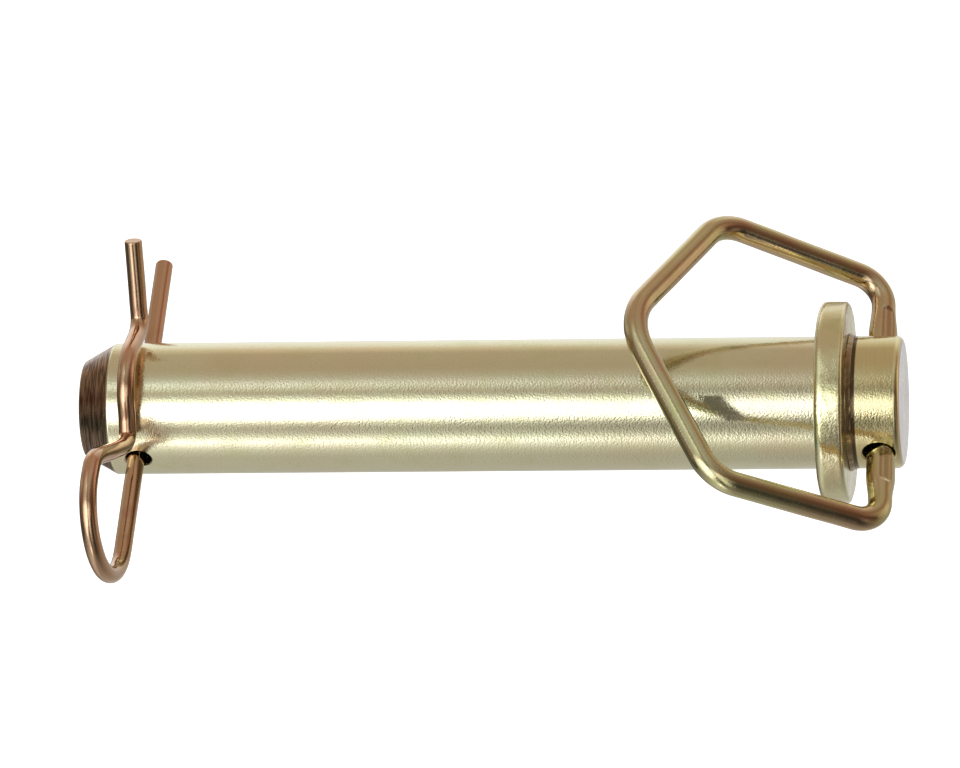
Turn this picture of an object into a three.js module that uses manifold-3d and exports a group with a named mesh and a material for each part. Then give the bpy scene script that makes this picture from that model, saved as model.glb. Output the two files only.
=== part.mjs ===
// Hitch pin lock: a collared steel pin, a pull handle that swings in the pin's head, and a
// hairpin clip that locks the pin's tip.
//
// Millimetres. +X runs along the pin from its tip to its head, +Z is up, and the origin is
// the centre of the flat tip face. The pin lies as it does on a bench, so both cross holes
// run sideways and dip below +Y. Inside the turned pin group, +Y is the direction of the
// cross holes and +Z is the side that the handle and the clip's wavy leg are on.
import * as THREE from 'three';
import { mergeVertices } from 'three/addons/utils/BufferGeometryUtils.js';
import Module from 'manifold-3d';

const wasm = await Module();
wasm.setup();

// Pin
const PIN_RADIUS = 14.3;
const PIN_LENGTH = 179;
const TIP_FACE_RADIUS = 10.4;
const TIP_BEVEL_LENGTH = 6.9;
const HEAD_EDGE_RADIUS = 1.4;
const HOLE_DIP_DEG = 17.5;
const CLIP_HOLE_X = 12.9;
const CLIP_HOLE_RADIUS = 2.75;
const HEAD_HOLE_X = 174.2;
const HEAD_HOLE_RADIUS = 3.45;
const HOLE_EDGE_BREAK = 0.5;
const DRILL_OVERRUN = 2;

// Collar and its weld
const COLLAR_FACE_X = 161.1;
const COLLAR_THICKNESS = 6.35;
const COLLAR_RADIUS = 21.9;
const COLLAR_FRONT_ROUND = 1.6;
const COLLAR_BACK_CHAMFER = 0.9;
const JOINT_GAP = 0.15;
const WELD_LENGTH = 1.2;
const WELD_HEIGHT = 0.7;
const WELD_TOE_HEIGHT = 0.05;
const WELD_HOLLOWNESS = 1.4;

// Pull handle: a five-sided loop of wire, measured from its hinge line
const HANDLE_WIRE_RADIUS = 2.68;
const HANDLE_END = 5;
const HANDLE_HEAD_HALF_SPAN = 33.4;
const HANDLE_SHOULDER_HALF_SPAN = 35.4;
const HANDLE_SHOULDER_REACH = 39.85;
const HANDLE_TIP_REACH = 61.3;
const HANDLE_HEAD_BEND = 6.5;
const HANDLE_SHOULDER_BEND = 9.5;
const HANDLE_TIP_BEND = 14;
const HANDLE_RAISED_DEG = 31.2;
const HANDLE_ASKEW_DEG = 2;
const HANDLE_SIDE_PLAY = -0.3;
const EAR_CENTRE = 20.5;
const EAR_HALF_WIDTH = 3.35;
const EAR_HALF_LENGTH = 5.8;
const EAR_HALF_THICKNESS = 2.3;

// Hairpin clip: y runs along its straight leg, z towards its wavy leg
const CLIP_WIRE_RADIUS = 1.95;
const CLIP_LEG_TIP = 41;
const CLIP_EYE_RADIUS = 13.7;
const CLIP_EYE_DEPTH = 39.2;
const CLIP_EYE_SKEW = 3.1;
const CLIP_EYE_SKEW_PEAK_DEG = 165;
const CLIP_EYE_TURN_DEG = 205;
const CLIP_LEG_OFFSET = -0.4;
const CLIP_LEG_LEAN_DEG = 0.6;
const CLIP_WAVE = [
  [-1.2, -26.5, 18.3],
  [-0.6, -19.0, 11.1],
  [-0.5, -15.6, 9.3],
  [-0.5, -12.6, 11.7],
  [-0.5, -9.8, 16.0],
  [-0.5, -5.1, 18.7],
  [-0.5, 0.0, 18.6],
  [-0.5, 5.5, 16.0],
  [-0.5, 10.3, 13.7],
  [-0.5, 13.6, 13.8],
  [-0.6, 16.2, 17.2],
  [-0.9, 23.8, 28.8],
];

// Fineness of the faceted surfaces
const ROUND_SEGMENTS = 80;
const QUARTER_ROUND_STEPS = 6;
const WELD_STEPS = 2;
const WIRE_SIDES = 16;
const BEND_STEP_DEG = 12;
const WAVE_STEPS = 36;

const STEEL = { metalness: 1, roughness: 0.35 };
const PIN_FINISH = new THREE.MeshStandardMaterial({ ...STEEL, color: 0xc9c08f });
const COLLAR_FINISH = new THREE.MeshStandardMaterial({ ...STEEL, color: 0xb0a468 });
const WELD_FINISH = new THREE.MeshStandardMaterial({ ...STEEL, color: 0xa87b5c });
const HANDLE_FINISH = new THREE.MeshStandardMaterial({ ...STEEL, color: 0xa8935c });
const CLIP_FINISH = new THREE.MeshStandardMaterial({ ...STEEL, color: 0xb5805c });

const rad = THREE.MathUtils.degToRad;

/** A wire's centre line, given as the stations that its section is placed at. */
class WireRoute extends THREE.Curve {
  constructor(stations) {
    super();
    this.stations = stations;
  }

  getPoint(t, target = new THREE.Vector3()) {
    const last = this.stations.length - 1;
    const place = THREE.MathUtils.clamp(t, 0, 1) * last;
    const before = Math.min(Math.floor(place), last - 1);
    return target.lerpVectors(this.stations[before], this.stations[before + 1], place - before);
  }

  getUtoTmapping(u) {
    return u;
  }
}

/** A closed geometry as a solid that can be joined and cut. */
function toSolid(geometry) {
  const bare = geometry.clone();
  bare.deleteAttribute('normal');
  bare.deleteAttribute('uv');
  const merged = mergeVertices(bare, 1e-4);
  return new wasm.Manifold(new wasm.Mesh({
    numProp: 3,
    vertProperties: new Float32Array(merged.attributes.position.array),
    triVerts: new Uint32Array(merged.index.array),
  }));
}

/** A solid back as a geometry. */
function toGeometry(solid) {
  const mesh = solid.getMesh();
  const geometry = new THREE.BufferGeometry();
  geometry.setAttribute('position', new THREE.BufferAttribute(mesh.vertProperties, 3));
  geometry.setIndex(new THREE.BufferAttribute(mesh.triVerts, 1));
  geometry.computeVertexNormals();
  return geometry;
}

/** A solid of revolution about +X from [x, radius] points. */
function turned(profile) {
  const points = profile.map(([x, radius]) => new THREE.Vector2(radius, x));
  return new THREE.LatheGeometry(points, ROUND_SEGMENTS).rotateZ(-Math.PI / 2);
}

/** Points of a quarter round in a turned profile, between two angles measured from +X. */
function quarterRound(x, radius, size, from, to) {
  return Array.from({ length: QUARTER_ROUND_STEPS + 1 }, (_, i) => {
    const angle = rad(from + ((to - from) * i) / QUARTER_ROUND_STEPS);
    return [x + size * Math.cos(angle), radius + size * Math.sin(angle)];
  });
}

/** The shape that drills one cross hole and breaks the sharp edges of its two mouths. */
function drill(x, radius) {
  const crown = PIN_RADIUS - HOLE_EDGE_BREAK;
  const beyond = PIN_RADIUS + DRILL_OVERRUN;
  const mouth = radius + beyond - crown;
  const half = [[crown, radius], [beyond, mouth], [beyond, 0]];
  const points = [
    ...half.map(([y, r]) => new THREE.Vector2(r, -y)).reverse(),
    ...half.map(([y, r]) => new THREE.Vector2(r, y)),
  ];
  return toSolid(new THREE.LatheGeometry(points, ROUND_SEGMENTS / 2).translate(x, 0, 0));
}

function makePinBar() {
  const edge = HEAD_EDGE_RADIUS;
  const blank = turned([
    [0, 0],
    [0, TIP_FACE_RADIUS],
    [TIP_BEVEL_LENGTH, PIN_RADIUS],
    ...quarterRound(PIN_LENGTH - edge, PIN_RADIUS - edge, edge, 90, 0),
    [PIN_LENGTH, 0],
  ]);
  const drilled = toSolid(blank)
    .subtract(drill(CLIP_HOLE_X, CLIP_HOLE_RADIUS))
    .subtract(drill(HEAD_HOLE_X, HEAD_HOLE_RADIUS));
  return toGeometry(drilled);
}

function makeCollarRing() {
  const bore = PIN_RADIUS + JOINT_GAP;
  const back = COLLAR_FACE_X + COLLAR_THICKNESS;
  const front = COLLAR_FRONT_ROUND;
  const profile = [
    [COLLAR_FACE_X, bore],
    ...quarterRound(COLLAR_FACE_X + front, COLLAR_RADIUS - front, front, 180, 90),
    [back - COLLAR_BACK_CHAMFER, COLLAR_RADIUS],
    [back, COLLAR_RADIUS - COLLAR_BACK_CHAMFER],
    [back, bore],
    [COLLAR_FACE_X, bore],
  ];
  return turned(profile);
}

/** A weld bead with a hollow face, from the collar's back down to the head. */
function makeCollarWeld() {
  const start = COLLAR_FACE_X + COLLAR_THICKNESS + JOINT_GAP;
  const root = PIN_RADIUS + JOINT_GAP;
  const slope = Array.from({ length: WELD_STEPS + 1 }, (_, i) => {
    const along = i / WELD_STEPS;
    const height = WELD_TOE_HEIGHT + WELD_HEIGHT * (1 - along) ** WELD_HOLLOWNESS;
    return [start + WELD_LENGTH * along, root + height];
  });
  const end = start + WELD_LENGTH;
  return turned([[start, root], ...slope, [end, root], [start, root]]);
}

/** Stations along a line of corners, each inner corner rounded to its own radius. */
function roundedRoute(corners, radii) {
  const stations = [corners[0]];
  radii.forEach((radius, i) => {
    const [before, corner, after] = corners.slice(i, i + 3);
    const back = before.clone().sub(corner).normalize();
    const on = after.clone().sub(corner).normalize();
    const half = back.angleTo(on) / 2;
    const middle = back.clone().add(on).normalize();
    const centre = corner.clone().addScaledVector(middle, radius / Math.sin(half));
    const start = corner.clone().addScaledVector(back, radius / Math.tan(half)).sub(centre);
    const axis = on.clone().cross(back).normalize();
    const turn = Math.PI - 2 * half;
    const steps = Math.ceil(turn / rad(BEND_STEP_DEG));
    for (let k = 0; k <= steps; k += 1) {
      stations.push(start.clone().applyAxisAngle(axis, (turn * k) / steps).add(centre));
    }
  });
  stations.push(corners[corners.length - 1]);
  return stations;
}

/** A round wire along a line of stations. */
function wire(stations, radius) {
  const section = new THREE.Shape();
  section.absarc(0, 0, radius, 0, 2 * Math.PI, false);
  return new THREE.ExtrudeGeometry(section, {
    steps: stations.length - 1,
    extrudePath: new WireRoute(stations),
    curveSegments: WIRE_SIDES / 2,
    bevelEnabled: false,
  });
}

/** The crimped ear that keeps one handle end from sliding further into the head. */
function makeEar(side) {
  return new THREE.SphereGeometry(1, WIRE_SIDES, WIRE_SIDES / 2)
    .scale(EAR_HALF_WIDTH, EAR_HALF_LENGTH, EAR_HALF_THICKNESS)
    .translate(0, side * EAR_CENTRE, 0);
}

/** The handle flat in its own XY plane: hinge line along Y, loop towards -X. */
function makePullHandle() {
  const outline = [
    [0, HANDLE_END],
    [0, HANDLE_HEAD_HALF_SPAN],
    [HANDLE_SHOULDER_REACH, HANDLE_SHOULDER_HALF_SPAN],
    [HANDLE_TIP_REACH, 0],
    [HANDLE_SHOULDER_REACH, -HANDLE_SHOULDER_HALF_SPAN],
    [0, -HANDLE_HEAD_HALF_SPAN],
    [0, -HANDLE_END],
  ];
  const corners = outline.map(([reach, across]) => new THREE.Vector3(-reach, across, 0));
  const bends = [
    HANDLE_HEAD_BEND,
    HANDLE_SHOULDER_BEND,
    HANDLE_TIP_BEND,
    HANDLE_SHOULDER_BEND,
    HANDLE_HEAD_BEND,
  ];
  const loop = toSolid(wire(roundedRoute(corners, bends), HANDLE_WIRE_RADIUS));
  return toGeometry(loop.add(toSolid(makeEar(1))).add(toSolid(makeEar(-1))));
}

/** The clip in its own frame: straight leg along Y, wavy leg on the +Z side. */
function makeRClip() {
  const leg = [new THREE.Vector3(0, CLIP_LEG_TIP, 0), new THREE.Vector3(0, 0, 0)];
  const eye = [];
  for (let turn = 0; turn <= CLIP_EYE_TURN_DEG; turn += BEND_STEP_DEG) {
    const lean = Math.sin(rad((90 * turn) / CLIP_EYE_SKEW_PEAK_DEG)) ** 2;
    eye.push(new THREE.Vector3(
      -CLIP_EYE_SKEW * lean,
      -CLIP_EYE_DEPTH - CLIP_EYE_RADIUS * Math.sin(rad(turn)),
      CLIP_EYE_RADIUS * (1 - Math.cos(rad(turn))),
    ));
  }
  const joint = eye[eye.length - 1];
  const wavePoints = CLIP_WAVE.map((point) => new THREE.Vector3(...point));
  const wave = new THREE.CatmullRomCurve3([joint, ...wavePoints]).getSpacedPoints(WAVE_STEPS);
  return wire([...leg, ...eye, ...wave.slice(1)], CLIP_WIRE_RADIUS);
}

function piece(name, geometry, material, parent) {
  const mesh = new THREE.Mesh(geometry, material);
  mesh.name = name;
  parent.add(mesh);
}

const hitchPinLock = new THREE.Group();

const pinGroup = new THREE.Group();
pinGroup.rotation.x = -rad(HOLE_DIP_DEG);
hitchPinLock.add(pinGroup);
piece('pin_bar', makePinBar(), PIN_FINISH, pinGroup);
piece('collar_ring', makeCollarRing(), COLLAR_FINISH, pinGroup);
piece('collar_weld', makeCollarWeld(), WELD_FINISH, pinGroup);

// The handle turns about its own ends, which sit a little askew in the loose head hole.
const hingeGroup = new THREE.Group();
hingeGroup.position.x = HEAD_HOLE_X;
hingeGroup.rotation.z = rad(HANDLE_ASKEW_DEG);
pinGroup.add(hingeGroup);
const raisedGroup = new THREE.Group();
raisedGroup.rotation.y = rad(HANDLE_RAISED_DEG);
raisedGroup.position.y = HANDLE_SIDE_PLAY;
hingeGroup.add(raisedGroup);
piece('pull_handle', makePullHandle(), HANDLE_FINISH, raisedGroup);

const clipGroup = new THREE.Group();
clipGroup.position.x = CLIP_HOLE_X + CLIP_LEG_OFFSET;
clipGroup.rotation.z = -rad(CLIP_LEG_LEAN_DEG);
pinGroup.add(clipGroup);
piece('r_clip', makeRClip(), CLIP_FINISH, clipGroup);

export default hitchPinLock;
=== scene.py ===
"""A hitch pin lock: how the finished pieces look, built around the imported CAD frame.

Shapes are worked out in millimetres and become metres when a mesh is made. +X runs along the pin
from its tip to its head and +Z is up. In the pin's own turned frame +Y is the direction of the
cross holes, and +Z is the side that the handle and the clip's wavy leg are on.
"""
import math

import bmesh
import bpy
import numpy as np
from mathutils import Matrix, Vector, noise


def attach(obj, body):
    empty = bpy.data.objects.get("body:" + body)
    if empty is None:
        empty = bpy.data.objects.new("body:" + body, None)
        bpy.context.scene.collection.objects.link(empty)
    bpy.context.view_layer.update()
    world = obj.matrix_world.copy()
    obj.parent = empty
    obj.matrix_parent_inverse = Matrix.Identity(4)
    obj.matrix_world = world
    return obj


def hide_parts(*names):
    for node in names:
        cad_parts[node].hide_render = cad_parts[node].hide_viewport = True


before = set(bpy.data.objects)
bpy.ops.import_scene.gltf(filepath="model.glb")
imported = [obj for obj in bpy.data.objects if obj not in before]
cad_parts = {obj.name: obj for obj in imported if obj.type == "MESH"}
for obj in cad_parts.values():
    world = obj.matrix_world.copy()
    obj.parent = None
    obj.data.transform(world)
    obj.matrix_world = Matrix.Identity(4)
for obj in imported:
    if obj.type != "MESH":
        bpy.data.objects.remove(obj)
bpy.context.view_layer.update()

MM = 0.001

# Pin, as in the CAD
PIN_RADIUS = 14.3
PIN_LENGTH = 179
TIP_FACE_RADIUS = 10.4
TIP_BEVEL_LENGTH = 6.9
TIP_FACE_EDGE = 0.35
TIP_BEVEL_EDGE = 0.6
HEAD_EDGE_RADIUS = 1.4
HOLE_DIP_DEG = 17.5
CLIP_HOLE_X = 12.9
CLIP_HOLE_RADIUS = 2.75
HEAD_HOLE_X = 174.2
HEAD_HOLE_RADIUS = 3.45
CROSS_HOLES = [(CLIP_HOLE_X, CLIP_HOLE_RADIUS), (HEAD_HOLE_X, HEAD_HOLE_RADIUS)]
HOLE_EDGE_BREAK = 0.4
DRILL_OVERRUN = 2

# Collar and its weld
COLLAR_FACE_X = 161.1
COLLAR_THICKNESS = 6.35
COLLAR_RADIUS = 21.9
COLLAR_FRONT_ROUND = 1.6
COLLAR_BACK_CHAMFER = 0.55
COLLAR_CHAMFER_EDGE = 0.3
COLLAR_BORE_EDGE = 0.3
JOINT_GAP = 0.15
WELD_LENGTH = 1.2
WELD_HEIGHT = 0.75
WELD_TOE_HEIGHT = 0.08
WELD_SEAM_HEIGHT = 0.2
WELD_EDGES = [0.12, 0.05, 0.03, 0.05]
WELD_OFF_COLLAR = 0.05
WELD_OFF_BAR = 0.02

# Pull handle, flat in its own XY plane: hinge line along Y, loop towards -X
HANDLE_WIRE_RADIUS = 2.68
HANDLE_WIRE_EDGE = 0.4
HANDLE_END = 5
HANDLE_CORNERS = [  # reach from the hinge line, distance across
    (0, 33.4),
    (39.85, 35.4),
    (61.3, 0),
    (39.85, -35.4),
    (0, -33.4),
]
HANDLE_BENDS = [6.5, 9.5, 14, 9.5, 6.5]
HANDLE_RAISED_DEG = 31.2
HANDLE_ASKEW_DEG = 2
HANDLE_SIDE_PLAY = -0.3

# The handle's crimped ears, in mm from the pin's middle along the wire
EAR_START = 14.5
EAR_END = 26.3
EAR_WIDEST = [18.6, 20.4]  # on the far and the near side of the pin
EAR_STEPS = [25.2, 22.9]  # where the die's mark ends, on the same two sides
EAR_HALF_WIDTH = 3.3
EAR_HALF_THICKNESS = 2.25
EAR_SWELL_RAMP = 1.5
EAR_PRESS_RAMP = 1
EAR_STEP_RAMP = 0.5
EAR_RIDGE_DEPTH = 0.1
EAR_RIDGE_TURN = 4.2  # radians of the ridges' wave for each mm across
EAR_RIDGE_SHIFT = 0.6

# Hairpin clip: y runs along its straight leg, z towards its wavy leg
CLIP_WIRE_RADIUS = 1.95
CLIP_WIRE_EDGE = 0.35
CLIP_LEG_TIP = 41
CLIP_LEG_SHARES = (0, 0.5, 0.85, 0.95)  # where the leg's points are, from its tip to the eye
CLIP_EYE_RADIUS = 13.62
CLIP_EYE_DEPTH = 39.2
CLIP_EYE_SKEW = 3.1
CLIP_EYE_SKEW_PEAK_DEG = 165
CLIP_EYE_TURN_DEG = 205
CLIP_EYE_STEP_DEG = 15
CLIP_LEG_OFFSET = -0.4
CLIP_LEG_LEAN_DEG = 0.6
CLIP_WAVE = [
    (-1.2, -26.5, 18.3),
    (-0.6, -19.0, 11.1),
    (-0.5, -15.6, 9.3),
    (-0.5, -12.6, 11.7),
    (-0.5, -9.8, 16.0),
    (-0.5, -5.1, 18.7),
    (-0.5, 0.0, 18.6),
    (-0.5, 5.5, 16.0),
    (-0.5, 10.3, 13.7),
    (-0.5, 13.6, 13.8),
    (-0.6, 16.2, 17.2),
    (-0.9, 23.8, 28.8),
]

# Soft hollows in the surfaces: size, depth, seed
COLLAR_RIPPLE = (5, 0.16, 1)
COLLAR_PEENING = (1.6, 0.07, 2)
COLLAR_FADE = (17, 21)  # radii between which they grow to their full depth
WELD_RIPPLE = (1.3, 0.2, 3)
WELD_FADE = 0.3  # height above the bar by which they are at full depth
HANDLE_RIPPLE = (7, 0.08, 4)
CLIP_RIPPLE = (5, 0.06, 5)
SEED_SHIFT = (17.3, 5.1, 9.7)

# Fineness of the meshes
PIN_SIDES = 288
PIN_EDGE_STEP_DEG = 12
PIN_BARREL_RINGS = (18, 60, 110, 168)
PIN_FACE_RINGS = (0.4, 5)
COLLAR_SIDES = 480
COLLAR_EDGE_STEP_DEG = 15
COLLAR_STEP = 0.45
WELD_SIDES = 360
WELD_EDGE_STEP_DEG = 30
WELD_STEP = 0.12
DRILL_SIDES = 96
WIRE_SIDES = 36
WIRE_STEP = 0.45
HANDLE_BEND_STEP_DEG = 4
SPLINE_STEPS = 24
CAP_TURNS_DEG = (25, 50, 75, 90)
CAP_SHARES = (0.93, 0.5, 0.02)

PIN_TURN = Matrix.Rotation(-math.radians(HOLE_DIP_DEG), 4, "X")


# ---------------------------------------------------------------- shapes


def unit(vectors):
    """The vectors at length 1."""
    return vectors / np.linalg.norm(vectors, axis=-1, keepdims=True)


def ease(low, high, x):
    """0 up to low, 1 from high on, and a smooth step between them."""
    t = np.clip((x - low) / (high - low), 0, 1)
    return t * t * (3 - 2 * t)


def round_corners(points, radii, step_deg):
    """The line through points, each inner corner turned into an arc of its own radius."""
    points = [Vector((*p, 0)) if len(p) == 2 else Vector(p) for p in points]
    line = [points[0]]
    for before, corner, after, radius in zip(points, points[1:], points[2:], radii):
        back = (before - corner).normalized()
        on = (after - corner).normalized()
        half = back.angle(on) / 2
        centre = corner + (back + on).normalized() * radius / math.sin(half)
        start = corner + back * radius / math.tan(half) - centre
        axis = on.cross(back).normalized()
        turn = math.pi - 2 * half
        steps = max(2, math.ceil(turn / math.radians(step_deg)))
        for k in range(steps + 1):
            line.append(centre + Matrix.Rotation(turn * k / steps, 3, axis) @ start)
    line.append(points[-1])
    return np.array([tuple(p) for p in line])


def spline(points):
    """A centripetal Catmull-Rom curve through points."""
    points = np.array(points, float)
    padded = np.vstack([2 * points[0] - points[1], points, 2 * points[-1] - points[-2]])
    curve = []
    for p0, p1, p2, p3 in zip(padded, padded[1:], padded[2:], padded[3:]):
        a, b, c = (math.sqrt(np.linalg.norm(q - p)) for p, q in ((p0, p1), (p1, p2), (p2, p3)))
        leave = ((p1 - p0) / a - (p2 - p0) / (a + b) + (p2 - p1) / b) * b
        arrive = ((p2 - p1) / b - (p3 - p1) / (b + c) + (p3 - p2) / c) * b
        square = 3 * (p2 - p1) - 2 * leave - arrive
        cube = 2 * (p1 - p2) + leave + arrive
        for k in range(SPLINE_STEPS):
            t = k / SPLINE_STEPS
            curve.append(p1 + leave * t + square * t**2 + cube * t**3)
    return np.array(curve + [points[-1]])


def even_steps(line, step):
    """The same line with points at even distances, and each point's distance from the start."""
    lengths = np.concatenate([[0], np.cumsum(np.linalg.norm(np.diff(line, axis=0), axis=1))])
    places = np.linspace(0, lengths[-1], math.ceil(lengths[-1] / step) + 1)
    return np.stack([np.interp(places, lengths, line[:, k]) for k in range(3)], 1), places


def lathe_rings(profile, sides):
    """Rings about +X, one for each (x, radius) point."""
    angle = np.arange(sides) * 2 * math.pi / sides
    return np.stack(
        [np.stack([np.full(sides, x), r * np.cos(angle), r * np.sin(angle)], 1) for x, r in profile]
    )


def wire_rings(route, reference, section, edge):
    """Rings of a wire along a route. section(distance, angle) gives its half widths in the plane
    square to the reference direction and along it; edge rounds the two cut ends."""
    route, places = even_steps(route, WIRE_STEP)
    tangent = unit(np.gradient(route, axis=0))
    route[0] += tangent[0] * edge
    route[-1] -= tangent[-1] * edge
    reference = np.array(reference, float)
    out = unit(reference - (tangent @ reference)[:, None] * tangent)
    side = np.cross(tangent, out)
    angle = np.arange(WIRE_SIDES) * 2 * math.pi / WIRE_SIDES
    rings = []
    for centre, s, o, distance in zip(route, side, out, places):
        across, up = section(distance, angle)
        rings.append(centre + np.outer(across, s) + np.outer(up, o))
    first = end_cap(rings[0], route[0], -tangent[0], edge)
    last = end_cap(rings[-1], route[-1], tangent[-1], edge)
    return first[::-1] + rings + last


def end_cap(ring, centre, outward, edge):
    """The rings that close one end of a wire: a rounded edge and then a flat face."""
    reach = np.linalg.norm(ring - centre, axis=1).mean()
    cap = []
    for turn in CAP_TURNS_DEG:
        shrink = 1 - edge * (1 - math.cos(math.radians(turn))) / reach
        lift = outward * edge * math.sin(math.radians(turn))
        cap.append(centre + (ring - centre) * shrink + lift)
    face = centre + outward * edge
    rim = cap[-1]
    for share in CAP_SHARES:
        cap.append(face + (rim - face) * share)
    return cap


def add_object(name, data):
    """A new object in the scene."""
    made = bpy.data.objects.new(name, data)
    bpy.context.scene.collection.objects.link(made)
    return made


def skin(name, rings, closed=False):
    """A smooth mesh over rings of points. closed joins the last ring to the first."""
    rings = np.array(rings)
    count, sides = rings.shape[:2]
    mesh = bpy.data.meshes.new(name)
    body = bmesh.new()
    rows = [[body.verts.new(Vector(p) * MM) for p in ring] for ring in rings]
    for i in range(count if closed else count - 1):
        here, there = rows[i], rows[(i + 1) % count]
        for j in range(sides):
            k = (j + 1) % sides
            body.faces.new((here[j], here[k], there[k], there[j]))
    if not closed:
        body.faces.new(rows[0][::-1])
        body.faces.new(rows[-1])
    bmesh.ops.recalc_face_normals(body, faces=body.faces)
    for face in body.faces:
        face.smooth = True
    body.to_mesh(mesh)
    body.free()
    return add_object(name, mesh)


def move(piece, matrix):
    """Moves the mesh itself; the matrix is in millimetres."""
    scaled = matrix.copy()
    scaled.translation *= MM
    piece.data.transform(scaled)
    return piece


def dent(piece, push):
    """Moves every point along its normal by push(point in millimetres), in millimetres."""
    mesh = piece.data
    dented = [v.co + v.normal * push(v.co / MM) * MM for v in mesh.vertices]
    mesh.vertices.foreach_set("co", np.array(dented, np.float32).ravel())
    mesh.update()


def hollows(size, depth, seed):
    """A push that sinks soft hollows of one size, up to depth, in millimetres."""
    shift = Vector([seed * step for step in SEED_SHIFT])
    return lambda p: depth * (noise.noise(p / size + shift) - 1) / 2


# ---------------------------------------------------------------- pin


def drill(x, radius):
    """The shape that drills one cross hole and breaks the edges of its two mouths."""
    crown = PIN_RADIUS - HOLE_EDGE_BREAK
    beyond = PIN_RADIUS + DRILL_OVERRUN
    mouth = radius + beyond - crown
    profile = [(-beyond, mouth), (-crown, radius), (crown, radius), (beyond, mouth)]
    cutter = skin("drill", lathe_rings(profile, DRILL_SIDES))
    return move(cutter, Matrix.Translation((x, 0, 0)) @ Matrix.Rotation(math.pi / 2, 4, "Z"))


def cut(piece, cutters):
    """Cuts each cutter out of the piece and removes it."""
    for cutter in cutters:
        modifier = piece.modifiers.new("cut", "BOOLEAN")
        modifier.object = cutter
        modifier.operation = "DIFFERENCE"
        modifier.solver = "EXACT"
        graph = bpy.context.evaluated_depsgraph_get()
        result = bpy.data.meshes.new_from_object(piece.evaluated_get(graph))
        piece.modifiers.clear()
        piece.data = result
        bpy.data.objects.remove(cutter)


# How closely a face has to fit to count as part of a turned or drilled surface
NEAR_SURFACE = 0.1
FACING = 0.03
FLAT = 0.999
BEVEL_SLOPE = math.atan2(PIN_RADIUS - TIP_FACE_RADIUS, TIP_BEVEL_LENGTH)


def true_normal(point, centre, facing):
    """The normal, at a point of one face, of the barrel, bevel, end or bore that it is part of.
    None where the face is none of these. centre is the face's middle, facing its own normal."""
    radial = Vector((0, point.y, point.z)).normalized()
    if abs(math.hypot(centre.y, centre.z) - PIN_RADIUS) < NEAR_SURFACE and abs(facing.x) < FACING:
        return radial
    if abs(facing.x + math.sin(BEVEL_SLOPE)) < FACING:
        return radial * math.cos(BEVEL_SLOPE) - Vector((math.sin(BEVEL_SLOPE), 0, 0))
    if abs(facing.x) > FLAT:
        return facing
    for x, radius in CROSS_HOLES:
        off_wall = abs(math.hypot(centre.x - x, centre.z) - radius)
        if off_wall < NEAR_SURFACE and abs(facing.y) < NEAR_SURFACE:
            return Vector((x - point.x, 0, -point.z)).normalized()
    return None


def smooth_turned_surfaces(piece):
    """Gives the pin's turned and drilled surfaces the normals of true cylinders and cones."""
    mesh = piece.data
    custom = []
    for face in mesh.polygons:
        centre = face.center / MM
        for vertex in (mesh.vertices[k] for k in face.vertices):
            normal = true_normal(vertex.co / MM, centre, face.normal)
            custom.append(tuple(vertex.normal if normal is None else normal))
    mesh.normals_split_custom_set(custom)


def make_pin_bar():
    """The turned bar: a bevelled tip, a rounded head edge and two drilled cross holes."""
    corners = [
        (0, 0),
        (0, TIP_FACE_RADIUS),
        (TIP_BEVEL_LENGTH, PIN_RADIUS),
        (PIN_LENGTH, PIN_RADIUS),
        (PIN_LENGTH, 0),
    ]
    edges = [TIP_FACE_EDGE, TIP_BEVEL_EDGE, HEAD_EDGE_RADIUS]
    line = round_corners(corners, edges, PIN_EDGE_STEP_DEG)[1:-1, :2]
    barrel = [(x, PIN_RADIUS) for x in PIN_BARREL_RINGS]
    start = np.searchsorted(line[:, 0], PIN_BARREL_RINGS[0])
    tip_face = [(0, radius) for radius in PIN_FACE_RINGS]
    head_face = [(PIN_LENGTH, radius) for radius in PIN_FACE_RINGS[::-1]]
    profile = [*tip_face, *line[:start], *barrel, *line[start:], *head_face]
    bar = skin("pin_bar_finished", lathe_rings(profile, PIN_SIDES))
    cut(bar, [drill(x, radius) for x, radius in CROSS_HOLES])
    smooth_turned_surfaces(bar)
    return move(bar, PIN_TURN)


# ---------------------------------------------------------------- collar and weld


def make_collar():
    """The stop ring: a well rounded front edge, a chamfered back one and a peened rim."""
    bore = PIN_RADIUS + JOINT_GAP
    back = COLLAR_FACE_X + COLLAR_THICKNESS
    seam = (COLLAR_FACE_X, (bore + COLLAR_RADIUS) / 2)
    corners = [
        seam,
        (COLLAR_FACE_X, COLLAR_RADIUS),
        (back - COLLAR_BACK_CHAMFER, COLLAR_RADIUS),
        (back, COLLAR_RADIUS - COLLAR_BACK_CHAMFER),
        (back, bore),
        (COLLAR_FACE_X, bore),
        seam,
    ]
    edges = [COLLAR_FRONT_ROUND] + [COLLAR_CHAMFER_EDGE] * 2 + [COLLAR_BORE_EDGE] * 2
    line, _ = even_steps(round_corners(corners, edges, COLLAR_EDGE_STEP_DEG), COLLAR_STEP)
    collar = skin("collar_finished", lathe_rings(line[:-1, :2], COLLAR_SIDES), closed=True)
    ripple = hollows(*COLLAR_RIPPLE)
    peening = hollows(*COLLAR_PEENING)
    inner, outer = COLLAR_FADE

    def push(p):
        share = (math.hypot(p.y, p.z) - inner) / (outer - inner)
        return min(1, max(0, share)) * (ripple(p) + peening(p))

    dent(collar, push)
    return move(collar, PIN_TURN)


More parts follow.
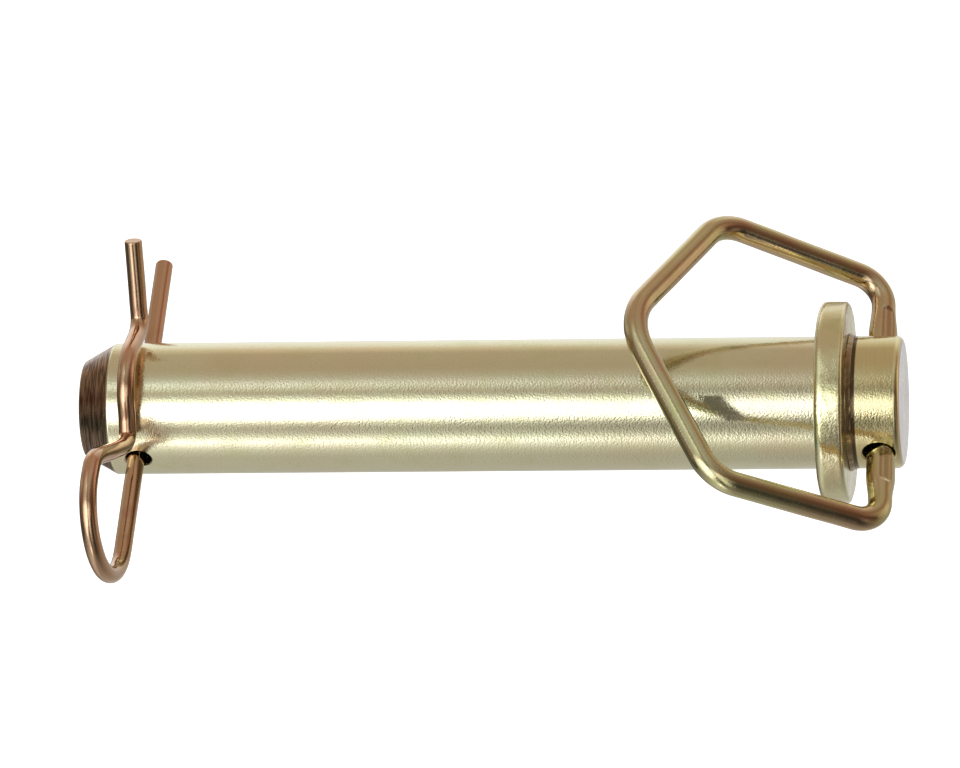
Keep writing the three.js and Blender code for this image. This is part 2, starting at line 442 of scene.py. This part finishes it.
def make_weld():
    """A thin bead with a hollow face, rippled as weld metal sets."""
    start = COLLAR_FACE_X + COLLAR_THICKNESS + WELD_OFF_COLLAR
    end = start + WELD_LENGTH
    root = PIN_RADIUS + WELD_OFF_BAR
    seam = (start, root + WELD_SEAM_HEIGHT)
    corners = [
        seam,
        (start, root + WELD_HEIGHT),
        (end, root + WELD_TOE_HEIGHT),
        (end, root),
        (start, root),
        seam,
    ]
    line, _ = even_steps(round_corners(corners, WELD_EDGES, WELD_EDGE_STEP_DEG), WELD_STEP)
    weld = skin("collar_weld_finished", lathe_rings(line[:-1, :2], WELD_SIDES), closed=True)
    ripple = hollows(*WELD_RIPPLE)

    def push(p):
        above = math.hypot(p.y, p.z) - root
        return ripple(p) * min(1, max(0, above / WELD_FADE))

    dent(weld, push)
    return move(weld, PIN_TURN)


# ---------------------------------------------------------------- pull handle


def handle_section(total):
    """The section of a wire of this total length: round, but spread and pressed at the ears."""

    def section(distance, angle):
        from_end = min(distance, total - distance) + HANDLE_END
        near = int(distance > total / 2)
        step = EAR_STEPS[near]
        swell = ease(EAR_START - EAR_SWELL_RAMP, EAR_START + EAR_SWELL_RAMP, from_end)
        swell *= 1 - ease(EAR_WIDEST[near], EAR_END, from_end)
        pressed = ease(EAR_START - EAR_PRESS_RAMP, EAR_START, from_end)
        pressed *= 1 - ease(step - EAR_STEP_RAMP, step, from_end)
        width = HANDLE_WIRE_RADIUS + (EAR_HALF_WIDTH - HANDLE_WIRE_RADIUS) * swell
        across = width * np.cos(angle)
        up = HANDLE_WIRE_RADIUS * np.sin(angle)
        ridges = EAR_RIDGE_DEPTH * np.cos(across * EAR_RIDGE_TURN + EAR_RIDGE_SHIFT)
        flat = EAR_HALF_THICKNESS + ridges
        limit = HANDLE_WIRE_RADIUS + (flat - HANDLE_WIRE_RADIUS) * pressed
        return across, np.clip(up, -limit, limit)

    return section


def make_handle():
    """One wire bent to five sides, raised and a little askew in the head's cross hole."""
    outline = [(0, HANDLE_END), *HANDLE_CORNERS, (0, -HANDLE_END)]
    points = [(-reach, across, 0) for reach, across in outline]
    route = round_corners(points, HANDLE_BENDS, HANDLE_BEND_STEP_DEG)
    _, places = even_steps(route, WIRE_STEP)
    rings = wire_rings(route, (0, 0, 1), handle_section(places[-1]), HANDLE_WIRE_EDGE)
    handle = skin("pull_handle_finished", rings)
    dent(handle, hollows(*HANDLE_RIPPLE))
    side_play = Matrix.Translation((0, HANDLE_SIDE_PLAY, 0))
    raised = Matrix.Rotation(math.radians(HANDLE_RAISED_DEG), 4, "Y")
    hinge = Matrix.Translation((HEAD_HOLE_X, 0, 0))
    askew = Matrix.Rotation(math.radians(HANDLE_ASKEW_DEG), 4, "Z")
    return move(handle, PIN_TURN @ (hinge @ askew) @ (side_play @ raised))


# ---------------------------------------------------------------- hairpin clip


def clip_eye():
    """Points round the eye, which leans off the leg's plane towards the pin's tip."""
    eye = []
    for turn in range(0, CLIP_EYE_TURN_DEG, CLIP_EYE_STEP_DEG):
        lean = math.sin(math.radians(90 * turn / CLIP_EYE_SKEW_PEAK_DEG)) ** 2
        along = -CLIP_EYE_DEPTH - CLIP_EYE_RADIUS * math.sin(math.radians(turn))
        up = CLIP_EYE_RADIUS * (1 - math.cos(math.radians(turn)))
        eye.append((-CLIP_EYE_SKEW * lean, along, up))
    return eye


def clip_section(_, angle):
    return CLIP_WIRE_RADIUS * np.cos(angle), CLIP_WIRE_RADIUS * np.sin(angle)


def make_clip():
    """One wire: a straight leg through the bar, a round eye and a wavy leg over the bar."""
    length = CLIP_LEG_TIP + CLIP_EYE_DEPTH
    leg = [(0, CLIP_LEG_TIP - share * length, 0) for share in CLIP_LEG_SHARES]
    route = spline([*leg, *clip_eye(), *CLIP_WAVE])
    clip = skin("r_clip_finished", wire_rings(route, (1, 0, 0), clip_section, CLIP_WIRE_EDGE))
    dent(clip, hollows(*CLIP_RIPPLE))
    hole = Matrix.Translation((CLIP_HOLE_X + CLIP_LEG_OFFSET, 0, 0))
    lean = Matrix.Rotation(-math.radians(CLIP_LEG_LEAN_DEG), 4, "Z")
    return move(clip, PIN_TURN @ (hole @ lean))


# ---------------------------------------------------------------- materials


class Nodes:
    """Adds nodes to one tree. Every call returns the output that is used next."""

    def __init__(self, tree):
        self.tree = tree

    def add(self, kind, inputs=(), output=0, **settings):
        """inputs gives a value or another node's output for each input, by number or name."""
        node = self.tree.nodes.new(kind)
        for key, value in settings.items():
            setattr(node, key, value)
        for socket, value in dict(inputs).items():
            self.feed(node.inputs[socket], value)
        return node.outputs[output]

    def feed(self, socket, value):
        if isinstance(value, bpy.types.NodeSocket):
            self.tree.links.new(value, socket)
        else:
            socket.default_value = value

    def split(self, vector):
        return self.add("ShaderNodeSeparateXYZ", {0: vector}).node.outputs

    def math(self, operation, a, b=0.0):
        return self.add("ShaderNodeMath", {0: a, 1: b}, operation=operation)

    def mix(self, share, a, b):
        node = self.add("ShaderNodeMix", {"Factor": share}, data_type="RGBA").node
        first, second = [s for s in node.inputs if s.type == "RGBA"]
        self.feed(first, a)
        self.feed(second, b)
        return next(s for s in node.outputs if s.type == "RGBA")

    def noise(self, vector, scale, detail):
        inputs = {"Vector": vector, "Scale": scale, "Detail": detail}
        return self.add("ShaderNodeTexNoise", inputs, "Fac")

    def band(self, value, low, high, to_low=0.0, to_high=1.0):
        """A smooth step from to_low to to_high as the value goes from low to high."""
        inputs = {0: value, 1: low, 2: high, 3: to_low, 4: to_high}
        return self.add("ShaderNodeMapRange", inputs, interpolation_type="SMOOTHSTEP")


def colour(r, g, b):
    """The opaque colour that a node's input takes."""
    return (r, g, b, 1.0)


def darker(shade, share):
    return colour(*[channel * share for channel in shade[:3]])


def new_material(name):
    """A material, its nodes and the inputs of its surface."""
    material = bpy.data.materials.new(name)
    material.use_nodes = True
    nodes = Nodes(material.node_tree)
    surface = next(n for n in nodes.tree.nodes if n.type == "BSDF_PRINCIPLED")
    return material, nodes, surface.inputs


# How fine the plating's patterns are
LINES_ALONG = 3200.0  # waves of the tool lines for each metre of X
LINES_AROUND = 2.6  # for each radian round the pin
LINES_OUTWARD = 2600.0  # for each metre from the pin's axis
LINE_DETAIL = 3.0
SPECKLE_SCALE = 2300.0
SPECKLE_DETAIL = 1.0
CLOUD_SCALE = 55.0
CLOUD_DETAIL = 3.0
PATCH_SCALE = 140.0
PATCH_DETAIL = 2.0

# How much each pattern does: where its noise starts and ends to show, and from what to what
CLOUD_SHARE = (0.35, 0.65)
PATCH_SHARE = (0.5, 0.75, 0.0, 0.7)
SPECKLE_SHARE = (0.58, 0.75, 0.0, 0.15)
SPECKLE_DARKNESS = 0.5
LINE_SHARE = (0.35, 0.65)
PATCH_WEAR = (0.3, 0.7, -0.02, 0.04)
SPECKLE_WEAR = (0.3, 0.7, -0.03, 0.05)


def tool_lines(nodes, point):
    """Fine lines round the pin's axis, on its faces as well as along it. Also returns X."""
    x, y, z = nodes.split(point)
    around = nodes.math("ARCTAN2", z, y)
    square = nodes.math("ADD", nodes.math("MULTIPLY", y, y), nodes.math("MULTIPLY", z, z))
    outward = nodes.math("SQRT", square)
    place = {
        0: nodes.math("MULTIPLY", x, LINES_ALONG),
        1: nodes.math("MULTIPLY", around, LINES_AROUND),
        2: nodes.math("MULTIPLY", outward, LINES_OUTWARD),
    }
    return nodes.noise(nodes.add("ShaderNodeCombineXYZ", place), 1.0, LINE_DETAIL), x


def add_stretches(nodes, film, stretches, x, lines):
    """Lays each stretch's own pair of hues over the film, between two places along X."""
    for low, high, edge, hues in stretches:
        after_low = nodes.band(x, (low - edge) * MM, low * MM)
        before_high = nodes.band(x, high * MM, (high + edge) * MM, 1.0, 0.0)
        inside = nodes.math("MULTIPLY", after_low, before_high)
        film = nodes.mix(inside, film, nodes.mix(nodes.band(lines, *LINE_SHARE), *hues))
    return film


def plated_steel(name, tints, roughness, grain, marks, stretches=()):
    """Zinc-plated steel with a yellow chromate film. tints are the film's three colours, grain
    the height of its speckle in mm and marks that of its tool lines. Each of the stretches along
    X, in mm, has two hues of its own: (start, end, soft edge, hues)."""
    material, nodes, surface = new_material(name)
    point = nodes.add("ShaderNodeTexCoord", output="Object")
    lines, x = tool_lines(nodes, point)
    speckle = nodes.noise(point, SPECKLE_SCALE, SPECKLE_DETAIL)
    cloud = nodes.noise(point, CLOUD_SCALE, CLOUD_DETAIL)
    patches = nodes.noise(point, PATCH_SCALE, PATCH_DETAIL)

    film = nodes.mix(nodes.band(cloud, *CLOUD_SHARE), tints[0], tints[1])
    film = nodes.mix(nodes.band(patches, *PATCH_SHARE), film, tints[2])
    pits = darker(tints[2], SPECKLE_DARKNESS)
    film = nodes.mix(nodes.band(speckle, *SPECKLE_SHARE), film, pits)
    film = add_stretches(nodes, film, stretches, x, lines)

    grains = nodes.math("MULTIPLY", speckle, grain)
    height = nodes.math("ADD", grains, nodes.math("MULTIPLY", lines, marks))
    relief = {"Height": height, "Distance": MM, "Strength": 1.0}
    patch_wear = nodes.band(patches, *PATCH_WEAR)
    wear = nodes.math("ADD", patch_wear, nodes.band(speckle, *SPECKLE_WEAR))
    nodes.feed(surface["Base Color"], film)
    nodes.feed(surface["Metallic"], 1.0)
    nodes.feed(surface["Roughness"], nodes.math("ADD", wear, roughness))
    nodes.feed(surface["Normal"], nodes.add("ShaderNodeBump", relief))
    return material


PIN_TINTS = [colour(0.86, 0.85, 0.60), colour(0.87, 0.81, 0.58), colour(0.80, 0.79, 0.50)]
COLLAR_TINTS = [colour(0.83, 0.81, 0.50), colour(0.84, 0.75, 0.49), colour(0.72, 0.72, 0.38)]
WELD_TINTS = [colour(0.42, 0.32, 0.18), colour(0.36, 0.24, 0.14), colour(0.28, 0.20, 0.11)]
HANDLE_TINTS = [colour(0.66, 0.61, 0.36), colour(0.66, 0.48, 0.31), colour(0.60, 0.58, 0.29)]
CLIP_TINTS = [colour(0.69, 0.42, 0.28), colour(0.66, 0.45, 0.29), colour(0.56, 0.32, 0.20)]

# Painted dark reflection: the tip's bevel is darkened to brown and near black for the dark studio
# side that it mirrors.
BEVEL_DARK_REFLECTION_HUES = [colour(0.44, 0.30, 0.21), colour(0.12, 0.07, 0.045)]
HEAD_HUES = [colour(0.83, 0.75, 0.43), colour(0.81, 0.72, 0.40)]
END_HUES = [colour(0.70, 0.64, 0.60), colour(0.66, 0.60, 0.56)]
# Painted shade: the dark band on the head beside the weld, where the collar and weld darken what the
# head mirrors.
WELD_SHADE_HUES = [colour(0.14, 0.10, 0.06), colour(0.09, 0.06, 0.035)]
PIN_STRETCHES = [
    # painted dark reflection on the tip's bevel
    (0.4, 6.3, 0.6, BEVEL_DARK_REFLECTION_HUES),
    (168, 178.6, 3, HEAD_HUES),
    (168.6, 169.3, 0.3, WELD_SHADE_HUES),  # painted shade on the head beside the weld
    (178.96, 200, 0.2, END_HUES),  # the flat end face
]


# ---------------------------------------------------------------- the object

pin_finish = plated_steel(
    "pin_finish", PIN_TINTS, roughness=0.13, grain=0.022, marks=0.006, stretches=PIN_STRETCHES
)
collar_finish = plated_steel("collar_finish", COLLAR_TINTS, roughness=0.17, grain=0.034, marks=0.006)
weld_finish = plated_steel("weld_finish", WELD_TINTS, roughness=0.26, grain=0.024, marks=0.002)
handle_finish = plated_steel("handle_finish", HANDLE_TINTS, roughness=0.11, grain=0.018, marks=0.0)
clip_finish = plated_steel("clip_finish", CLIP_TINTS, roughness=0.09, grain=0.010, marks=0.0)

PIECES = [  # maker, CAD node, body, material slot, material
    (make_pin_bar, "pin_bar", "pin", "pin_steel", pin_finish),
    (make_collar, "collar_ring", "pin", "collar_steel", collar_finish),
    (make_weld, "collar_weld", "pin", "weld_steel", weld_finish),
    (make_handle, "pull_handle", "handle", "handle_wire", handle_finish),
    (make_clip, "r_clip", "clip", "clip_wire", clip_finish),
]

for make, node, body, slot, finish in PIECES:
    piece = make()
    piece.data.materials.clear()
    piece.data.materials.append(finish)
    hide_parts(node)
    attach(piece, body)


# ---------------------------------------------------------------- floor and painted dark reflection card

STAGE_ROUGHNESS = 0.9
FLOOR_SIZE = (420, 360)
FLOOR_HEIGHT = -72  # clear of the handle's whole swing
FLOOR_WHITE = colour(0.8, 0.8, 0.8)
FLOOR_GLOW = (colour(1, 1, 1), 0.85)

# A painted dark reflection: a narrow dark card arched over the pin inside the handle, standing in
# for the shaded underside of the handle as the shank mirrors it. Only the metal mirrors it.
REFLECTION_CARD_RADIUS = 28
REFLECTION_CARD_WIDTH = 5.2
REFLECTION_CARD_ENDS = [(46, 142.6), (79, 136.4)]  # degrees above the front horizon, X
REFLECTION_CARD_STEPS = 12
REFLECTION_CARD_BLACK = colour(0.02, 0.02, 0.02)
REFLECTION_CARD_GLOW = (colour(1.0, 0.9, 0.7), 0.1)


def add_stage(name, points, faces, base, glow):
    """An object outside the part, dull and faintly lit from within. points are in mm."""
    mesh = bpy.data.meshes.new(name)
    mesh.from_pydata([point * MM for point in points], [], faces)
    material, _, surface = new_material(name + "_paint")
    surface["Base Color"].default_value = base
    surface["Roughness"].default_value = STAGE_ROUGHNESS
    surface["Emission Color"].default_value = glow[0]
    surface["Emission Strength"].default_value = glow[1]
    mesh.materials.append(material)
    made = add_object(name, mesh)
    return made


def make_floor():
    length, width = FLOOR_SIZE
    signs = [(-1, -1), (1, -1), (1, 1), (-1, 1)]
    corners = [Vector((a * length / 2, b * width / 2, 0)) for a, b in signs]
    floor = add_stage("floor", corners, [(0, 1, 2, 3)], FLOOR_WHITE, FLOOR_GLOW)
    floor.location = Vector((PIN_LENGTH / 2, 0, FLOOR_HEIGHT)) * MM
    floor.visible_glossy = False


# The painted dark reflection card: dark, faintly glowing, seen only in the metal's mirror.
def make_dark_reflection_card():
    points = []
    for share in np.linspace(0, 1, REFLECTION_CARD_STEPS + 1):
        turn, x = [a + (b - a) * share for a, b in zip(*REFLECTION_CARD_ENDS)]
        y = -REFLECTION_CARD_RADIUS * math.cos(math.radians(turn))
        z = REFLECTION_CARD_RADIUS * math.sin(math.radians(turn))
        points += [Vector((x + side * REFLECTION_CARD_WIDTH / 2, y, z)) for side in (-1, 1)]
    faces = [(2 * i, 2 * i + 1, 2 * i + 3, 2 * i + 2) for i in range(REFLECTION_CARD_STEPS)]
    dark_reflection_card = add_stage("dark_reflection_card", points, faces, REFLECTION_CARD_BLACK, REFLECTION_CARD_GLOW)
    dark_reflection_card.visible_camera = False
    dark_reflection_card.visible_diffuse = False
    dark_reflection_card.visible_shadow = False


# ---------------------------------------------------------------- studio light

# The studio as the metal mirrors it. Each belt lies at one angle to the right of the pin's middle
# (right is +X), and its stops run round the pin's axis: degrees from the front horizon (-Y) up over
# the top, brightness and hue.
WHITE = (1.00, 1.00, 1.00)
PALE = (1.00, 0.97, 0.90)
LEAF = (0.93, 1.00, 0.90)
TAN = (1.00, 0.81, 0.62)
BROWN = (1.00, 0.58, 0.42)
MOSS = (0.70, 1.00, 0.80)
SMOKE = (1.00, 0.92, 0.82)
BRIGHTEST = 2.4
STUDIO = {
    -80: [
        (-180, 0.26, BROWN), (-110, 0.12, TAN), (-40, 0.14, TAN), (60, 0.26, TAN),
        (110, 0.24, BROWN), (180, 0.28, BROWN),
    ],
    -65: [
        (-180, 0.60, TAN), (-150, 0.56, PALE), (-118, 0.13, TAN), (-80, 0.08, MOSS),
        (-40, 0.06, MOSS), (20, 0.12, MOSS), (50, 0.18, SMOKE), (78, 0.24, TAN),
        (110, 0.22, BROWN), (135, 0.34, TAN), (160, 0.55, TAN), (180, 0.60, TAN),
    ],
    -59: [
        (-180, 0.35, TAN), (-140, 0.46, PALE), (-116, 0.13, TAN), (-60, 0.20, LEAF),
        (0, 0.28, LEAF), (30, 0.34, SMOKE), (50, 0.90, WHITE), (74, 0.90, WHITE),
        (90, 0.34, PALE), (112, 0.28, TAN), (180, 0.35, TAN),
    ],
    -42: [
        (-180, 0.60, TAN), (-140, 0.55, WHITE), (-118, 0.16, TAN), (-85, 0.13, TAN),
        (-60, 0.40, PALE), (-30, 0.48, PALE), (0, 0.46, WHITE), (24, 0.60, WHITE),
        (44, 1.50, WHITE), (76, 1.60, WHITE), (90, 0.60, PALE), (118, 0.50, LEAF),
        (140, 0.42, TAN), (180, 0.45, TAN),
    ],
    -25: [
        (-180, 0.75, PALE), (-160, 1.05, WHITE), (-135, 1.10, WHITE), (-117, 0.22, TAN),
        (-88, 0.18, TAN), (-60, 0.55, PALE), (-30, 0.80, WHITE), (0, 0.62, WHITE),
        (20, 0.90, WHITE), (30, 2.20, WHITE), (46, 2.40, WHITE), (80, 2.40, WHITE),
        (89, 0.90, PALE), (98, 0.72, LEAF), (122, 0.95, LEAF), (134, 0.60, PALE),
        (144, 0.42, TAN), (180, 0.52, TAN),
    ],
    -11: [
        (-180, 0.55, TAN), (-170, 0.68, TAN), (-156, 0.88, PALE), (-132, 0.98, WHITE),
        (-110, 0.65, WHITE), (-90, 0.47, PALE), (-28, 0.50, PALE), (-13, 0.72, LEAF),
        (-3, 1.20, WHITE), (4, 2.40, WHITE), (10, 1.90, WHITE), (17, 0.95, LEAF),
        (25, 0.48, PALE), (33, 0.38, TAN), (39, 0.60, PALE), (44, 1.60, WHITE),
        (48, 2.40, WHITE), (74, 2.40, WHITE), (81, 1.30, LEAF), (87, 0.55, PALE),
        (95, 0.46, TAN), (102, 1.00, LEAF), (109, 1.20, WHITE), (117, 0.50, PALE),
        (128, 0.44, TAN), (180, 0.48, TAN),
    ],
    -9: [
        (-180, 0.53, TAN), (-170, 0.66, TAN), (-156, 0.87, PALE), (-132, 0.97, WHITE),
        (-110, 0.65, WHITE), (-90, 0.47, PALE), (-28, 0.50, PALE), (-11, 0.70, PALE),
        (0, 1.20, WHITE), (6, 1.90, WHITE), (12, 1.20, LEAF), (20, 0.68, PALE),
        (29, 0.50, PALE), (36, 0.58, PALE), (42, 1.15, PALE), (47, 2.40, WHITE),
        (76, 2.40, WHITE), (82, 1.20, LEAF), (90, 0.50, PALE), (97, 0.50, TAN),
        (107, 0.90, WHITE), (113, 0.85, WHITE), (121, 0.52, PALE), (136, 0.43, TAN),
        (180, 0.47, TAN),
    ],
    -7: [
        (-180, 0.52, TAN), (-170, 0.66, TAN), (-156, 0.86, PALE), (-132, 0.96, WHITE),
        (-110, 0.65, WHITE), (-90, 0.46, PALE), (-28, 0.47, PALE), (-11, 0.64, PALE),
        (0, 1.05, WHITE), (6, 1.40, WHITE), (13, 0.95, WHITE), (21, 0.60, PALE),
        (30, 0.54, PALE), (37, 0.68, PALE), (44, 1.10, PALE), (50, 2.40, WHITE),
        (72, 2.40, WHITE), (81, 1.00, PALE), (91, 0.48, PALE), (99, 0.50, PALE),
        (112, 0.68, WHITE), (121, 0.53, PALE), (137, 0.42, TAN), (180, 0.46, TAN),
    ],
    -5.8: [
        (-180, 0.48, TAN), (-156, 0.80, PALE), (-132, 0.90, WHITE), (-110, 0.62, WHITE),
        (-60, 0.47, PALE), (-38, 0.46, PALE), (-17, 0.36, PALE), (1, 0.76, WHITE),
        (17, 0.50, PALE), (32, 0.28, PALE), (44, 0.55, PALE), (54, 2.20, WHITE),
        (66, 2.00, WHITE), (75, 0.86, PALE), (89, 0.44, PALE), (103, 0.42, TAN),
        (117, 0.46, TAN), (146, 0.38, TAN), (180, 0.44, TAN),
    ],
    -4.6: [
        (-180, 0.48, TAN), (-150, 0.80, PALE), (-110, 0.62, WHITE), (-60, 0.44, PALE),
        (-44, 0.30, PALE), (-22, 0.48, TAN), (-3, 0.56, TAN), (13, 0.28, TAN),
        (29, 0.05, SMOKE), (38, 0.04, SMOKE), (48, 0.08, PALE), (60, 0.60, WHITE),
        (66, 1.00, WHITE), (71, 0.70, WHITE), (78, 0.16, PALE), (90, 0.14, TAN),
        (106, 0.34, TAN), (132, 0.42, TAN), (180, 0.42, TAN),
    ],
    3: [
        (-180, 0.60, TAN), (-150, 0.90, WHITE), (-110, 0.75, WHITE), (-60, 0.44, PALE),
        (-27, 0.32, PALE), (0, 0.34, PALE), (18, 0.16, PALE), (36, 0.14, PALE),
        (52, 0.50, WHITE), (66, 1.20, WHITE), (76, 1.00, WHITE), (86, 0.30, PALE),
        (118, 0.50, LEAF), (140, 0.48, TAN), (180, 0.50, TAN),
    ],
    14: [
        (-180, 0.75, PALE), (-150, 0.90, PALE), (-118, 0.50, PALE), (-60, 0.42, PALE),
        (-15, 0.26, SMOKE), (0, 0.18, SMOKE), (20, 0.32, SMOKE), (34, 0.90, PALE),
        (52, 1.30, PALE), (74, 1.40, PALE), (86, 0.40, PALE), (110, 0.54, LEAF),
        (130, 0.54, PALE), (150, 0.48, TAN), (180, 0.56, TAN),
    ],
    32: [
        (-180, 0.52, TAN), (-145, 0.60, PALE), (-112, 0.44, PALE), (-60, 0.32, SMOKE),
        (-25, 0.18, SMOKE), (0, 0.08, SMOKE), (46, 0.06, SMOKE), (58, 0.14, SMOKE),
        (68, 0.50, PALE), (77, 0.50, PALE), (87, 0.20, BROWN), (110, 0.34, TAN),
        (140, 0.46, PALE), (155, 0.48, TAN), (170, 0.42, TAN), (180, 0.46, TAN),
    ],
    46: [
        (-180, 0.38, BROWN), (-140, 0.50, TAN), (-80, 0.38, SMOKE), (-30, 0.20, SMOKE),
        (0, 0.08, SMOKE), (20, 0.04, SMOKE), (55, 0.05, SMOKE), (85, 0.12, BROWN),
        (120, 0.17, BROWN), (145, 0.24, BROWN), (165, 0.32, BROWN), (180, 0.38, BROWN),
    ],
    62: [
        (-180, 0.78, TAN), (-120, 0.76, TAN), (-80, 0.42, TAN), (-20, 0.22, TAN),
        (40, 0.28, TAN), (85, 0.13, BROWN), (110, 0.14, BROWN), (140, 0.36, BROWN),
        (180, 0.60, TAN),
    ],
    80: [
        (-180, 0.60, TAN), (-100, 0.40, TAN), (-40, 0.20, BROWN), (0, 0.10, BROWN),
        (100, 0.10, BROWN), (140, 0.26, BROWN), (180, 0.50, TAN),
    ],
}

def add_belt(nodes, around, stops):
    """One belt's colours, for a place around the pin's axis from 0 to 1."""
    shade = nodes.add("ShaderNodeValToRGB", {0: around}, "Color")
    elements = shade.node.color_ramp.elements
    for _ in range(len(stops) - 2):
        elements.new(0.5)
    for element, (degrees, _, _) in zip(elements, stops):
        element.position = (degrees + 180) / 360
    for element, (_, brightness, hue) in zip(elements, stops):
        element.color = darker(hue, brightness / BRIGHTEST)
    return shade


def add_studio(nodes):
    """The belts, each blended into the next from left to right."""
    direction = nodes.add("ShaderNodeTexCoord", output="Generated")
    x, y, z = nodes.split(direction)
    turn = nodes.math("ARCTAN2", z, nodes.math("MULTIPLY", y, -1.0))
    around = nodes.math("ADD", nodes.math("DIVIDE", turn, 2 * math.pi), 0.5)
    right = nodes.math("DEGREES", nodes.math("ARCSINE", x))
    belts = [(angle, add_belt(nodes, around, stops)) for angle, stops in STUDIO.items()]
    low, shade = belts[0]
    for angle, belt in belts[1:]:
        share = nodes.add("ShaderNodeMapRange", {0: right, 1: float(low), 2: float(angle)})
        shade = nodes.mix(share, shade, belt)
        low = angle
    return shade


def make_world():
    """The studio for everything the metal mirrors, and plain white behind the object."""
    world = bpy.data.worlds.new("studio")
    bpy.context.scene.world = world
    world.use_nodes = True
    world.node_tree.nodes.clear()
    nodes = Nodes(world.node_tree)
    mirrored = nodes.add("ShaderNodeBackground", {0: add_studio(nodes), 1: BRIGHTEST})
    seen = nodes.add("ShaderNodeBackground", {0: colour(1, 1, 1), 1: 1.0})
    camera_ray = nodes.add("ShaderNodeLightPath", output="Is Camera Ray")
    surface = world.node_tree.nodes.new("ShaderNodeOutputWorld").inputs[0]
    nodes.feed(surface, nodes.add("ShaderNodeMixShader", {0: camera_ray, 1: mirrored, 2: seen}))


# ---------------------------------------------------------------- camera

VIEW_HEIGHT_DEG = 68.5  # above the front horizon, square to the pin
CAMERA_X = 338.7
CAMERA_DISTANCE = 1842.9
CAMERA_FOCAL = 321.2
CAMERA_SENSOR = 36
CAMERA_CLIP = (0.05, 20)  # metres
AIM_X = 86.7
AIM_RISE = 4.7
CAMERA_ROLL_DEG = 0.504


def make_camera():
    """A long lens above the pin, a little past its head, tilted down onto its middle."""
    data = bpy.data.cameras.new("camera")
    data.lens = CAMERA_FOCAL
    data.sensor_width = CAMERA_SENSOR
    data.clip_start, data.clip_end = CAMERA_CLIP
    height = math.radians(VIEW_HEIGHT_DEG)
    toward = Vector((0, -math.cos(height), math.sin(height)))
    rise = Vector((0, math.sin(height), math.cos(height)))
    spot = Vector((CAMERA_X, 0, 0)) + toward * CAMERA_DISTANCE
    aim = Vector((AIM_X, 0, 0)) + rise * AIM_RISE
    ahead = (aim - spot).normalized()
    right = ahead.cross(rise).normalized()
    upright = Matrix((right, right.cross(ahead), -ahead)).transposed().to_4x4()
    roll = Matrix.Rotation(-math.radians(CAMERA_ROLL_DEG), 4, "Z")
    camera = add_object("camera", data)
    camera.matrix_world = Matrix.Translation(spot * MM) @ upright @ roll
    bpy.context.scene.camera = camera


make_floor()
make_dark_reflection_card()
make_world()
make_camera()
bpy.context.scene.view_settings.view_transform = "Standard"
